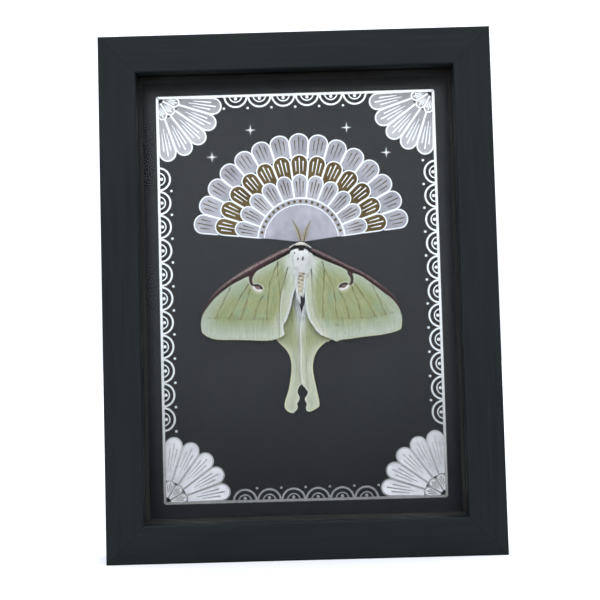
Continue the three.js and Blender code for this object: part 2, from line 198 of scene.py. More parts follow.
# The antennae: foot, middle and tip.
ANTENNAE = {
    "left": [(0.35, 6.2), (-1.1, 11.4), (-3.1, 15.3)],
    "right": [(1.2, 6.2), (2.6, 11.2), (4.3, 14.8)],
}
RAMI_PER_SIDE = 64

# The print on the card: a band of arches, corner fans and a great fan over the moth's head. A tier of plumes
# is where they start, where they round off, where they end, how many they are and how far they turn each way.
PRINT_INSET = 6
PRINT_HALF = HALF_WIDTH - RAIL_FACE - PRINT_INSET
PRINT_LOW = RAIL_FACE + PRINT_INSET
PRINT_HIGH = 2 * HALF_HEIGHT - RAIL_FACE - PRINT_INSET
RULE_WIDTH = 1.0
ARCH_PITCH = 9.6
FAN_FOCUS = (1, 123)
FAN_TIERS = ((33.5, 40, 43.5, 15, 84), (25, 31.5, 35, 13, 84), (16, 23.5, 27, 11, 84))
FAN_INKS = ("lilac", "bronze", "lilac")
HUB_RADIUS = 17.5
HUB_BORDER = 2.6
FAN_STARS = (-45, -23, 23, 45)
STAR_SIZE = 2.2
STAR_GAP = 6
CORNER_TIERS = ((9, 22, 26, 5, 44), (2.5, 7, 9, 3, 44))

# The ribs of a plume: how far across it each lies, and the shares of its length between which it runs.
PLUME_RIBS = ((-0.45, 0.35, 0.78), (0, 0.22, 0.88), (0.45, 0.35, 0.78))

# How far inks and foil lie off the card, each over the last, and a tier of a fan over the tier behind it.
INK_LIFT = 0.012
BRONZE_LIFT = 0.024
FOIL_LIFT = 0.036
TIER_LIFT = 0.036

# The paints of the wings, in the order that they cover each other, painted highlight and shade among them, and
# those that are dusted on unevenly.
WING_PAINTS = (
    ("straw", "#b3ad7e"),
    ("pale", "#b9c2b0"),
    ("inner", "#c4c9b4"),
    ("frost", "#dfe4e2"),
    # olive: veins and lines, and painted shade beside the left forewing's fold.
    ("olive", "#4a4524"),
    ("brown", "#6f6139"),
    ("fringe", "#dcd8b2"),
    # edging: pale rims and edges, and a painted highlight along the left forewing's fold.
    ("edging", "#dbe1de"),
    ("maroon", "#3f2a2b"),
    # sheen: painted highlight on the rolled front edge, over its frosted scales.
    ("sheen", "#bda7a5"),
    ("eye_shade", "#cbc8b2"),
    # umber: the eyespot's dark arc, and painted shade under the rolled front edge near the root.
    ("umber", "#251b1c"),
    ("eye_lens", "#7f6865"),
    ("eye_white", "#f0ece8"),
)
DUSTED_PAINTS = ("straw", "brown", "sheen")

# The camera, in millimetres and degrees, and the warm white of the lamps.
CAMERA_PLACE = (1.37, -431.94, 74.95)
CAMERA_TURN = (93.238, 1.566, 0.299)
CAMERA_ANGLE = 30.68
LAMP_COLOUR = (1, 0.95, 0.88)


def linear(colour):
    """An sRGB hex value as the linear colour that a shader takes."""
    channels = [int(colour[i:i + 2], 16) / 255 for i in (1, 3, 5)]
    return [c / 12.92 if c <= 0.04045 else ((c + 0.055) / 1.055) ** 2.4 for c in channels] + [1.0]


def add_node(tree, kind, inputs, **settings):
    """Adds a shader node. An input is a value, an output, or a node whose first output is meant."""
    node = tree.nodes.new("ShaderNode" + kind)
    # Every mix here is of colours.
    if kind == "Mix":
        node.data_type = "RGBA"
    for name, value in settings.items():
        setattr(node, name, value)
    for name, value in inputs.items():
        socket = next(s for s in node.inputs if s.enabled and s.name == name)
        if isinstance(value, bpy.types.Node):
            value = next(s for s in value.outputs if s.enabled)
        if isinstance(value, bpy.types.NodeSocket):
            tree.links.new(value, socket)
        else:
            socket.default_value = value
    return node


def new_material(name):
    """An empty material, its node tree and its object coordinates, which are metres in the part's frame."""
    material = bpy.data.materials.new(name)
    material.use_nodes = True
    tree = material.node_tree
    tree.nodes.clear()
    return material, tree, add_node(tree, "TexCoord", {}).outputs["Object"]


def per_mm(*sizes):
    """Texture scales that give a pattern these sizes in millimetres."""
    return [1 / (size * MM) for size in sizes]


def painted_wood(name, grain):
    """Black satin paint rolled on close-grained wood: deep blue-black, with the grain just showing."""
    material, tree, place = new_material(name)
    along = add_node(tree, "Mapping", {"Vector": place, "Scale": per_mm(*grain)})
    fibre = add_node(tree, "TexNoise", {"Vector": along, "Scale": 1, "Detail": 5, "Roughness": 0.65})
    cloud = add_node(tree, "TexNoise", {"Vector": place, "Scale": per_mm(25)[0], "Detail": 3})
    tone = add_node(tree, "MapRange", {"Value": fibre, "From Min": 0.3, "From Max": 0.72})
    paint = add_node(tree, "Mix", {"Factor": tone, "A": linear("#131717"), "B": linear("#1a1f20")})
    shade = add_node(tree, "MapRange", {"Value": cloud, "From Min": 0.3, "From Max": 0.7, "To Max": 0.35})
    worn = add_node(tree, "Mix", {"Factor": shade, "A": paint, "B": linear("#1d2124")})
    gloss = add_node(tree, "MapRange", {"Value": fibre, "To Min": 0.5, "To Max": 0.66})
    relief = add_node(tree, "Bump", {"Height": fibre, "Strength": 0.35, "Distance": 0.12 * MM})
    shader = add_node(tree, "BsdfPrincipled", {"Base Color": worn, "Roughness": gloss, "Normal": relief,
                                               "Specular IOR Level": 0.13})
    add_node(tree, "OutputMaterial", {"Surface": shader})
    return material


def black_board():
    """Black paper-faced foam board: dead matt, with a faint warm fibre."""
    material, tree, place = new_material("black_board")
    along = add_node(tree, "Mapping", {"Vector": place, "Scale": per_mm(9, 0.5, 9)})
    fibre = add_node(tree, "TexNoise", {"Vector": along, "Scale": 1, "Detail": 4})
    tone = add_node(tree, "Mix", {"Factor": fibre, "A": linear("#262524"), "B": linear("#3a3834")})
    relief = add_node(tree, "Bump", {"Height": fibre, "Strength": 0.3, "Distance": 0.1 * MM})
    shader = add_node(tree, "BsdfPrincipled", {"Base Color": tone, "Roughness": 0.7, "Normal": relief,
                                               "Specular IOR Level": 0.15})
    add_node(tree, "OutputMaterial", {"Surface": shader})
    return material


def black_card():
    """Coated black card: satin, slightly uneven, with a fine paper tooth drawn coarse enough to show."""
    material, tree, place = new_material("black_card")
    tooth = add_node(tree, "TexNoise", {"Vector": place, "Scale": per_mm(0.5)[0], "Detail": 4,
                                        "Roughness": 0.7})
    cloud = add_node(tree, "TexNoise", {"Vector": place, "Scale": per_mm(30)[0], "Detail": 3})
    tone = add_node(tree, "Mix", {"Factor": cloud, "A": linear("#131417"), "B": linear("#191a1e")})
    fleck = add_node(tree, "MapRange", {"Value": tooth, "From Min": 0.5, "From Max": 0.8, "To Max": 0.06})
    paper = add_node(tree, "Mix", {"Factor": fleck, "A": tone, "B": linear("#3a3c41")})
    gloss = add_node(tree, "MapRange", {"Value": cloud, "To Min": 0.2, "To Max": 0.26})
    relief = add_node(tree, "Bump", {"Height": tooth, "Strength": 0.05, "Distance": 0.01 * MM})
    shader = add_node(tree, "BsdfPrincipled", {"Base Color": paper, "Roughness": gloss, "Normal": relief,
                                               "Specular IOR Level": 0.4})
    add_node(tree, "OutputMaterial", {"Surface": shader})
    return material


def hardboard():
    """Pressed brown hardboard: smooth on the outside, with long pale fibres and darker flecks."""
    material, tree, place = new_material("hardboard")
    fibre_place = add_node(tree, "Mapping", {"Vector": place, "Scale": per_mm(0.7, 3, 2.5)})
    fibre = add_node(tree, "TexNoise", {"Vector": fibre_place, "Scale": 1, "Detail": 6, "Roughness": 0.7})
    fleck = add_node(tree, "TexVoronoi", {"Vector": place, "Scale": per_mm(2.2)[0]})
    tone = add_node(tree, "MapRange", {"Value": fibre, "From Min": 0.3, "From Max": 0.7})
    brown = add_node(tree, "Mix", {"Factor": tone, "A": linear("#4d3421"), "B": linear("#8a6544")})
    spot = add_node(tree, "MapRange", {"Value": fleck, "From Min": 0.25, "From Max": 0.05, "To Max": 0.55})
    board = add_node(tree, "Mix", {"Factor": spot, "A": brown, "B": linear("#3b2818")})
    relief = add_node(tree, "Bump", {"Height": fibre, "Strength": 0.4, "Distance": 0.1 * MM})
    shader = add_node(tree, "BsdfPrincipled", {"Base Color": board, "Roughness": 0.55, "Normal": relief})
    add_node(tree, "OutputMaterial", {"Surface": shader})
    return material


def zinc_plated_steel():
    """Stamped steel with bright zinc plating: grey, brushed along its length, with dull patches."""
    material, tree, place = new_material("zinc_plated_steel")
    brushed = add_node(tree, "Mapping", {"Vector": place, "Scale": per_mm(8, 0.3, 0.25)})
    scratch = add_node(tree, "TexNoise", {"Vector": brushed, "Scale": 1, "Detail": 3})
    patch = add_node(tree, "TexNoise", {"Vector": place, "Scale": per_mm(3)[0], "Detail": 4})
    tone = add_node(tree, "Mix", {"Factor": patch, "A": linear("#8f9498"), "B": linear("#c4c8ca")})
    gloss = add_node(tree, "MapRange", {"Value": scratch, "To Min": 0.22, "To Max": 0.48})
    relief = add_node(tree, "Bump", {"Height": scratch, "Strength": 0.25, "Distance": 0.05 * MM})
    shader = add_node(tree, "BsdfPrincipled", {"Base Color": tone, "Roughness": gloss, "Normal": relief,
                                               "Metallic": 1})
    add_node(tree, "OutputMaterial", {"Surface": shader})
    return material


def float_glass():
    """Thin picture glass: clear, a trace of green, with a soft reflection of the room."""
    material, tree, place = new_material("float_glass")
    draw = add_node(tree, "TexNoise", {"Vector": place, "Scale": per_mm(60)[0]})
    tint = add_node(tree, "Mix", {"Factor": draw, "A": linear("#ffffff"), "B": linear("#f6fbf9")})
    shader = add_node(tree, "BsdfPrincipled", {"Base Color": tint, "Roughness": 0, "IOR": 1.12,
                                               "Transmission Weight": 1})
    add_node(tree, "OutputMaterial", {"Surface": shader})
    return material


def silver_foil():
    """Hot-stamped silver foil: mirror bright, a little uneven where it took the card's tooth."""
    material, tree, place = new_material("silver_foil")
    ripple = add_node(tree, "TexNoise", {"Vector": place, "Scale": per_mm(1.6)[0], "Detail": 3})
    tooth = add_node(tree, "TexNoise", {"Vector": place, "Scale": per_mm(0.4)[0], "Detail": 2})
    tone = add_node(tree, "Mix", {"Factor": ripple, "A": linear("#e6e4e2"), "B": linear("#fbfbfc")})
    gloss = add_node(tree, "MapRange", {"Value": tooth, "To Min": 0.12, "To Max": 0.26})
    relief = add_node(tree, "Bump", {"Height": ripple, "Strength": 0.25, "Distance": 0.05 * MM})
    shader = add_node(tree, "BsdfPrincipled", {"Base Color": tone, "Roughness": gloss, "Normal": relief,
                                               "Metallic": 1})
    add_node(tree, "OutputMaterial", {"Surface": shader})
    return material


def printing_ink(name, dark, light):
    """Flat litho ink on card: matt, with cloudy mottling and a fine grain."""
    material, tree, place = new_material(name)
    cloud = add_node(tree, "TexNoise", {"Vector": place, "Scale": per_mm(7)[0], "Detail": 6,
                                        "Roughness": 0.6})
    tone = add_node(tree, "MapRange", {"Value": cloud, "From Min": 0.32, "From Max": 0.68})
    ink = add_node(tree, "Mix", {"Factor": tone, "A": linear(dark), "B": linear(light)})
    grain = add_node(tree, "TexNoise", {"Vector": place, "Scale": per_mm(0.35)[0], "Detail": 2})
    relief = add_node(tree, "Bump", {"Height": grain, "Strength": 0.1, "Distance": 0.02 * MM})
    shader = add_node(tree, "BsdfPrincipled", {"Base Color": ink, "Roughness": 0.6, "Normal": relief,
                                               "Specular IOR Level": 0.3})
    add_node(tree, "OutputMaterial", {"Surface": shader})
    return material


def wing_scales():
    """Dusty wing scales: soft matt green with streaks along the veins, bluer worn patches, and the marks,
    painted highlight and shade among them.
    """
    material, tree, place = new_material("wing_scales")
    ray = add_node(tree, "Attribute", {}, attribute_name="ray").outputs["Fac"]
    reach = add_node(tree, "Attribute", {}, attribute_name="reach").outputs["Fac"]
    rays = add_node(tree, "CombineXYZ", {"X": ray, "Y": reach})
    streak = add_node(tree, "TexNoise", {"Vector": rays, "Scale": 1, "Detail": 4, "Roughness": 0.7})
    dust = add_node(tree, "TexNoise", {"Vector": place, "Scale": per_mm(0.45)[0], "Detail": 3})
    cloud = add_node(tree, "TexNoise", {"Vector": place, "Scale": per_mm(7)[0], "Detail": 3})
    tone = add_node(tree, "MapRange", {"Value": streak, "From Min": 0.32, "From Max": 0.68})
    colour = add_node(tree, "Mix", {"Factor": tone, "A": linear("#8d9c72"), "B": linear("#a8ab7d")})
    patch = add_node(tree, "MapRange", {"Value": cloud, "From Min": 0.5, "From Max": 0.68, "To Max": 0.65})
    colour = add_node(tree, "Mix", {"Factor": patch, "A": colour, "B": linear("#93aa8e")})
    for mark, paint in WING_PAINTS:
        share = add_node(tree, "Attribute", {}, attribute_name=mark).outputs["Fac"]
        if mark in DUSTED_PAINTS:
            share = add_node(tree, "MapRange", {"Value": dust, "From Min": 0.36, "From Max": 0.54,
                                                "To Max": share})
        colour = add_node(tree, "Mix", {"Factor": share, "A": colour, "B": linear(paint)})
    comb = add_node(tree, "MapRange", {"Value": streak, "From Min": 0.3, "From Max": 0.7,
                                       "To Min": 0.86, "To Max": 1.1})
    colour = add_node(tree, "Mix", {"Factor": 1, "A": colour, "B": comb}, blend_type="MULTIPLY")
    speckle = add_node(tree, "MapRange", {"Value": dust, "From Min": 0.3, "From Max": 0.7,
                                          "To Min": 0.88, "To Max": 1.1})
    dusted = add_node(tree, "Mix", {"Factor": 1, "A": colour, "B": speckle}, blend_type="MULTIPLY")
    relief = add_node(tree, "Bump", {"Height": dust, "Strength": 0.35, "Distance": 0.06 * MM})
    shader = add_node(tree, "BsdfPrincipled", {"Base Color": dusted, "Roughness": 0.8, "Normal": relief,
                                               "Specular IOR Level": 0.2, "Sheen Weight": 0.15})
    add_node(tree, "OutputMaterial", {"Surface": shader})
    return material


def moth_hair(name):
    """Fine scales and hair: matt and soft, each lock in the tone that it grew in."""
    material, tree, place = new_material(name)
    tone = add_node(tree, "Attribute", {}, attribute_name="tone").outputs["Color"]
    lock = add_node(tree, "TexNoise", {"Vector": place, "Scale": per_mm(0.5)[0], "Detail": 2})
    shade = add_node(tree, "MapRange", {"Value": lock, "From Min": 0.3, "From Max": 0.7,
                                        "To Min": 0.9, "To Max": 1.06})
    hair = add_node(tree, "Mix", {"Factor": 1, "A": tone, "B": shade}, blend_type="MULTIPLY")
    relief = add_node(tree, "Bump", {"Height": lock, "Strength": 0.2, "Distance": 0.05 * MM})
    shader = add_node(tree, "BsdfPrincipled", {"Base Color": hair, "Roughness": 0.85, "Normal": relief,
                                               "Specular IOR Level": 0.2, "Sheen Weight": 0.2})
    add_node(tree, "OutputMaterial", {"Surface": shader})
    return material


def white_sweep():
    """A white paper sweep: bright and shadow-catching, with a faint tooth."""
    material, tree, place = new_material("white_sweep")
    tooth = add_node(tree, "TexNoise", {"Vector": place, "Scale": per_mm(2)[0]})
    tone = add_node(tree, "Mix", {"Factor": tooth, "A": linear("#f7f8fa"), "B": linear("#fcfcfd")})
    shader = add_node(tree, "BsdfPrincipled", {"Base Color": tone, "Roughness": 0.9,
                                               "Specular IOR Level": 0.1})
    add_node(tree, "OutputMaterial", {"Surface": shader})
    return material


def ease(low, high, value):
    """0 below low, 1 above high, and a smooth rise between them; low above high turns it round."""
    share = np.clip((value - low) / (high - low), 0, 1)
    return share * share * (3 - 2 * share)


def between(low, high, start, end, t):
    """Places that run straight from start to end while t runs from low to high."""
    return ((high - t) * start + (t - low) * end) / (high - low)


def curve(points, share):
    """Places at shares of the length of a smooth curve through the points."""
    points = np.array(points, float)
    ends = np.vstack([2 * points[0] - points[1], points, 2 * points[-1] - points[-2]])
    knots = np.concatenate([[0], np.cumsum(np.linalg.norm(np.diff(ends, axis=0), axis=1) ** 0.5)])
    runs = []
    for k in range(1, len(points)):
        t = np.linspace(knots[k], knots[k + 1], 24)[:, None]
        lines = [between(knots[i], knots[i + 1], ends[i], ends[i + 1], t) for i in (k - 1, k, k + 1)]
        before = between(knots[k - 1], knots[k + 1], lines[0], lines[1], t)
        after = between(knots[k], knots[k + 2], lines[1], lines[2], t)
        runs.append(between(knots[k], knots[k + 1], before, after, t))
    dense = np.vstack(runs)
    length = np.concatenate([[0], np.cumsum(np.linalg.norm(np.diff(dense, axis=0), axis=1))])
    return np.stack([np.interp(np.asarray(share) * length[-1], length, axis) for axis in dense.T], axis=-1)


def line_distance(x, z, points):
    """How far each place is from a smooth line through the points, and the share along it that is nearest."""
    line = curve(points, np.linspace(0, 1, 8 * len(points)))
    nearest = np.full(x.shape, np.inf)
    along = np.zeros(x.shape)
    for k, (start, end) in enumerate(zip(line, line[1:])):
        run = end - start
        share = np.clip(((x - start[0]) * run[0] + (z - start[1]) * run[1]) / (run @ run), 0, 1)
        gap = np.hypot(x - start[0] - share * run[0], z - start[1] - share * run[1])
        along = np.where(gap < nearest, (k + share) / (len(line) - 1), along)
        nearest = np.minimum(nearest, gap)
    return nearest, along


def card_place(places, lift):
    """Places (x, z) on the card, lifted off its face, in metres."""
    places = np.asarray(places)
    depth = np.broadcast_to(CARD_FACE - np.asarray(lift), places.shape[:-1])
    return np.stack([places[..., 0], depth, places[..., 1]], axis=-1) * MM


def moth_place(places, height):
    """Places (x, z) from the middle of the thorax, at a height over the card, in metres."""
    return card_place(np.asarray(places) + (MOTH_X, MOTH_Z), height)


def spread(form, columns, rows, place):
    """Adds a grid of faces whose corners go where place puts them, from shares along it and across it."""
    corners = bmesh.ops.create_grid(form, x_segments=columns, y_segments=rows, size=0.5)["verts"]
    along = np.array([corner.co.x + 0.5 for corner in corners])
    across = np.array([corner.co.y + 0.5 for corner in corners])
    for corner, there in zip(corners, place(along, across)):
        corner.co = there


def face_front(form):
    """Joins what meets and turns every face of a sheet to the front."""
    bmesh.ops.remove_doubles(form, verts=form.verts, dist=1e-7)
    form.normal_update()
    bmesh.ops.reverse_faces(form, faces=[face for face in form.faces if face.normal.y > 0])


def show(name, mesh, material, nodes=(), smooth=True):
    """Makes a mesh a piece of the object that rides on it and stands for CAD nodes."""
    mesh.materials.append(material)
    if smooth:
        mesh.shade_smooth()
    piece = bpy.data.objects.new(name, mesh)
    bpy.context.scene.collection.objects.link(piece)
    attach(piece, "root")
    if nodes:
        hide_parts(*nodes)
    return piece


def mesh_of(name, form):
    """A mesh with the form's faces. The form is used up."""
    mesh = bpy.data.meshes.new(name)
    form.to_mesh(mesh)
    form.free()
    return mesh


def thicken(piece, thickness):
    """Gives a sheet its thickness, behind the face that shows."""
    wall = piece.modifiers.new("thickness", "SOLIDIFY")
    wall.thickness = thickness * MM
    wall.offset = -1


def mark(mesh, marks):
    """Keeps a share for every corner of a mesh under each mark's name."""
    for name, values in marks.items():
        layer = mesh.attributes.new(name, "FLOAT", "POINT")
        layer.data.foreach_set("value", np.asarray(values, np.float32))


def moth_coordinates(mesh):
    """The corners of a mesh as (x, z) from the middle of the thorax."""
    places = np.zeros(3 * len(mesh.vertices), np.float32)
    mesh.vertices.foreach_get("co", places)
    x, _, z = places.reshape(-1, 3).T / MM
    return x - MOTH_X, z - MOTH_Z


def forewing_height(wing, places, out, back):
    """How far a forewing stands off the card: its slope, camber, rolled front edge, pleats and veins."""
    x, z = places.T
    height = ROOT_HEIGHT - TIP_FALL * out ** 2 + CAMBER * np.sin(np.pi * out) * np.sin(np.pi * back)
    to_front, _ = line_distance(x, z, wing["front"])
    band = np.interp(np.abs(x), BAND_PLACES, wing["band"])
    roll = np.clip(1 - (to_front / band * 2 - 0.9) ** 2, 0, 1) ** 0.5
    height = height + COSTA_RISE * roll * ease(0, 2, band)
    for vein in wing["veins"]:
        gap, _ = line_distance(x, z, vein)
        height = height + VEIN_RISE * np.exp(-(gap / 0.35) ** 2)
    ray = np.arctan2(z - 6, np.abs(x) + 2)
    height = height + PLEAT_RISE * np.sin(ray * 46) * ease(0.1, 0.5, back) * ease(0, 0.2, out)
    gap, _ = line_distance(x, z, wing["fold"])
    return height - 0.25 * np.exp(-(gap / 0.5) ** 2)


def patchy(share, pace, phase):
    """An uneven strength along a line, between 0 and 1."""
    return 0.5 + 0.5 * np.sin(pace * share + phase) * np.sin(0.43 * pace * share + 1.7 * phase)


def forewing_marks(wing, x, z):
    """Shares of each colour on a forewing, with painted highlight and shade on its rolled front edge and at
    its fold.
    """
    out = np.abs(x)
    to_front, _ = line_distance(x, z, wing["front"])
    to_margin, along_margin = line_distance(x, z, wing["margin"])
    to_inner, along_inner = line_distance(x, z, wing["inner"])
    band = np.interp(out, BAND_PLACES, wing["band"])
    depth = to_front / band
    stem, stem_share = line_distance(x, z, wing["stem"])
    apart = np.exp(-FILLET * (to_front - band)) + np.exp(-FILLET * (stem - STEM_HALF + 0.3 * stem_share))
    edge = -np.log(apart) / FILLET
    maroon = ease(0.18, -0.06, edge)

    disc = ease(24, 10, out) * ease(-26, -18, z) * ease(7, 13, to_margin + 3)
    straw = 0.75 * disc * patchy(out, 0.62, 0.4)
    waver = 0.14 * np.sin(1.9 * z) * np.sin(0.7 * z + 1)
    line, share = line_distance(x, z + waver, wing["line"])
    brown = 0.42 * np.exp(-(line / 0.5) ** 2) * patchy(share, 31, 1)
    for spot_x, spot_z in wing["spots"]:
        brown = np.maximum(brown, 0.75 * np.exp(-((x - spot_x) ** 2 / 0.5 + (z - spot_z) ** 2 / 0.2)))
    olive = np.zeros(x.shape)
    for k, points in enumerate(wing["veins"]):
        gap, share = line_distance(x + waver, z, points)
        strength = np.maximum(patchy(share, 17, 2.3 * k), ease(0.25, 0.05, share))
        vein = np.exp(-(gap / VEIN_HALF) ** 2) * (0.3 + 0.7 * strength)
        olive = np.maximum(olive, vein * (1 - 0.5 * ease(0.3, 0.8, share)))
        brown = np.maximum(brown, 0.7 * vein * ease(0.4, 0.8, share))
        straw = np.maximum(straw, 0.5 * np.exp(-(gap / 0.8) ** 2))

    fold, share = line_distance(x, z, wing["fold"])
    hem = curve(wing["fold"], np.linspace(0, 1, 60))
    from_fold = out - np.interp(-z, -hem[:, 1], np.abs(hem[:, 0]))
    tucked = wing["fold_highlight"] * ease(-10, -14, z)
    olive = np.maximum(olive, np.exp(-(fold / 0.22) ** 2) * (0.85 * ease(0.45, 0, share) + 0.15))
    # On the left forewing: painted shade just outside the fold, and a painted highlight just inside it.
    olive = np.maximum(olive, 0.55 * tucked * np.exp(-((from_fold - 0.25) / 0.22) ** 2))
    fold_highlight = 0.6 * tucked * np.exp(-((from_fold + 0.2) / 0.2) ** 2)

    eye_x, eye_z, tilt = wing["eye"]
    turn = math.radians(tilt)
    across = ((x - eye_x) * math.cos(turn) + (z - eye_z) * math.sin(turn)) / EYE_HALF[0]
    up = ((z - eye_z) * math.cos(turn) - (x - eye_x) * math.sin(turn)) / EYE_HALF[1]
    ring = np.hypot(across, up)
    rim = 0.4 * np.exp(-((edge - 0.4) / 0.2) ** 2) * ease(8, 12, out) * ease(32, 24, out)
    rim = np.maximum(rim, 0.7 * np.exp(-((ring - 1.3) / 0.12) ** 2) * ease(-0.2, 0.3, up))
    hem_line = 0.95 * ease(1.1, 0.35, to_inner) * ease(0.2, 0.5, along_inner)
    # Darker rear half of the band near the root: the collar's dark line carried onto it, and painted shade on
    # the underside of the rolled edge.
    root_shade = 0.85 * ease(0.45, 0.8, depth) * ease(1.12, 1.0, depth) * ease(20, 5, out)
    # Painted highlight along the top of the rolled front edge, over its frosted scales, stronger on the left
    # wing than on the right.
    gleam = np.exp(-((depth - 0.28) / 0.17) ** 2) * (0.5 + 0.5 * patchy(out, 5, 0)) * ease(42, 24, out)
    outer = ease(9, 2, to_margin)
    return {
        "straw": straw,
        "pale": 0.9 * outer + 0.75 * ease(5.5, 0, to_front - band) * (1 - outer),
        "inner": np.maximum(0.95 * ease(5.5, 1.5, to_inner), 0.8 * tucked * ease(0.15, -0.15, from_fold)),
        "frost": np.maximum(0.9 * ease(7.6, 3.4, out) * ease(-12, -1.5, z), 0.2 * ease(4, 1, to_margin)),
        "olive": olive * ease(0.1, 0.3, edge),
        "brown": brown,
        "fringe": ease(0.6, 0.2, to_margin + 0.25 * patchy(along_margin, 90, 0)),
        "edging": np.maximum(np.maximum(fold_highlight, rim), hem_line),
        "maroon": maroon,
        "sheen": wing["sheen"] * maroon * gleam,
        "eye_shade": 0.6 * ease(1.6, 1.1, np.hypot(across, up + 0.5)) * ease(0.2, -0.3, up),
        "umber": np.maximum(ease(1.12, 0.98, ring) * ease(-0.45, 0, up), root_shade),
        "eye_lens": ease(0.66, 0.42, np.hypot(across, up + 0.02)),
        "eye_white": ease(1.2, 1.05, ring) * ease(0.5, 0.72, ring) * ease(0.1, -0.3, up),
        "ray": (out - STREAK_FOCUS[0]) / (STREAK_FOCUS[1] - np.maximum(z, LINE_HEIGHT)) * 70,
        "reach": np.hypot(x, z - 4) / 9,
    }


def hindwing_marks(wing, x, z):
    """Shares of each colour on a hindwing and its tail."""
    to_front, _ = line_distance(x, z, wing["front"])
    to_inner, _ = line_distance(x, z, wing["inner"])
    rib, share = line_distance(x, z, wing["rib"])
    edge = np.minimum(to_front, to_inner)
    tail = ease(-30, -42, z)
    return {
        "straw": 0.1 + 0.4 * tail,
        "inner": np.clip(0.12 + 0.4 * ease(2.5, 0.4, edge) + 0.4 * tail, 0, 1),
        "frost": np.maximum(0.75 * ease(3.6, 0.6, to_inner) * ease(-34, -24, z), 0.12 * tail),
        "olive": 0.35 * np.exp(-(rib / 0.25) ** 2) * patchy(share, 19, 0),
        "edging": 0.85 * ease(0.75, 0.2, to_inner) * (1 - 0.4 * tail),
        "fringe": 0.8 * ease(0.6, 0.2, edge),
        "ray": x * 2.6,
        "reach": z / 12,
    }


def wing(name, outline, cells, height, marks, material):
    """A wing as a thin sheet between its front edge and its rear edge, with its markings."""
    form = bmesh.new()
    rear = outline["inner"] + outline.get("margin", [])[1:]

    def place(out, back):
        front_edge = curve(outline["front"], out)
        rear_edge = curve(rear, out)
        rear_edge[:, 1] += FRAY * np.sin(5.3 * rear_edge[:, 0]) * np.sin(2.1 * rear_edge[:, 0] + 1)
        places = front_edge + (rear_edge - front_edge) * back[:, None]
        return moth_place(places, height(outline, places, out, back))

    spread(form, *cells, place)
    face_front(form)
    mesh = mesh_of(name, form)
    x, z = moth_coordinates(mesh)
    mark(mesh, marks(outline, x, z))
    piece = show(name + "_scaled", mesh, material, [name])
    thicken(piece, WING_SHEET)


def hindwing_height(outline, places, out, back):
    """How far a hindwing stands off the card: nearly flat, with a rib along its tail and a soft wave."""
    x, z = places.T
    rib, _ = line_distance(x, z, outline["rib"])
    wave = 0.12 * np.sin(z / 3.1) * ease(-30, -45, z)
    return outline["base"] - 0.5 * out + 0.25 * np.exp(-(rib / 0.7) ** 2) + wave


def body_radius(z):
    """The body's radius at a height from the middle of the thorax."""
    profile = curve(BODY_OUTLINE, np.linspace(0, 1, 200))
    return np.interp(z, profile[:, 1], profile[:, 0])


def blend(tone, paint, share):
    """Moves linear colours towards a paint by a share for each of them."""
    return tone + (np.array(linear(paint)) - tone) * np.asarray(share)[:, None]


def over_body(x, z):
    """How far the body stands off the card in front of a place, or the wing roots where they stand higher."""
    front = np.sqrt(np.clip(body_radius(z) ** 2 - (x - BODY_LEAN * z) ** 2, 0, None))
    return np.maximum(BODY_HEIGHT + front, ROOT_HEIGHT + 0.1)


def body_tone(x, z):
    """Colour of the moth's coat, as linear colours, at places from the middle of the thorax."""
    across = x - BODY_LEAN * z
    tone = np.tile(linear("#ffffff"), (len(x), 1))
    dorsal = ease(1.7, 1.3, np.abs(across - 1.2 - 0.095 * z)) * ease(-14, -13.2, z) * ease(-4.7, -5.3, z)
    tone = blend(tone, "#e6dcc4", 0.9 * dorsal)
    slant = z + 0.35 * across + 0.22 * np.sin(4 * across + 1.3 * z)
    segment = np.abs((slant / SEGMENT_PITCH) % 1 - 0.5) * 2
    tone = blend(tone, "#4a3d26", dorsal * ease(0.5, 0.85, segment) * (0.4 + 0.6 * ease(-10.5, -8.5, z)))
    tone = blend(tone, "#efe8d8", ease(4.5, 4.8, z))
    collar = curve(COLLAR, np.linspace(0, 1, 80))
    tone = blend(tone, "#1a1615", ease(0.75, 0.5, np.abs(z - np.interp(x, collar[:, 0], collar[:, 1]))))
    return tone


def keep_tone(mesh, tone):
    """Keeps a linear colour for every corner of a mesh."""
    layer = mesh.attributes.new("tone", "FLOAT_COLOR", "POINT")
    layer.data.foreach_set("color", np.asarray(tone, np.float32).ravel())


def moth_body(material):
    """Head, thorax and abdomen turned as one form, leaning a little."""
    form = bmesh.new()
    profile = curve(BODY_OUTLINE, np.linspace(0, 1, 90))
    corners = [form.verts.new((radius, 0, z)) for radius, z in profile]
    edges = [form.edges.new(pair) for pair in zip(corners, corners[1:])]
    bmesh.ops.spin(form, geom=corners + edges, cent=(0, 0, 0), axis=(0, 0, 1), angle=2 * math.pi, steps=48,
                   use_merge=True)
    bmesh.ops.remove_doubles(form, verts=form.verts, dist=1e-4)
    bmesh.ops.recalc_face_normals(form, faces=form.faces)
    for corner in form.verts:
        x, y, z = corner.co
        ring = 1 + 0.05 * math.sin(2 * math.pi * z / SEGMENT_PITCH) * (z < -4.5)
        place = (ring * x + BODY_LEAN * z, z)
        corner.co = moth_place(place, BODY_HEIGHT - ring * y)
    mesh = mesh_of("moth_body", form)
    x, z = moth_coordinates(mesh)
    keep_tone(mesh, body_tone(x, z))
    show("moth_body_coat", mesh, material, ["moth_body"])


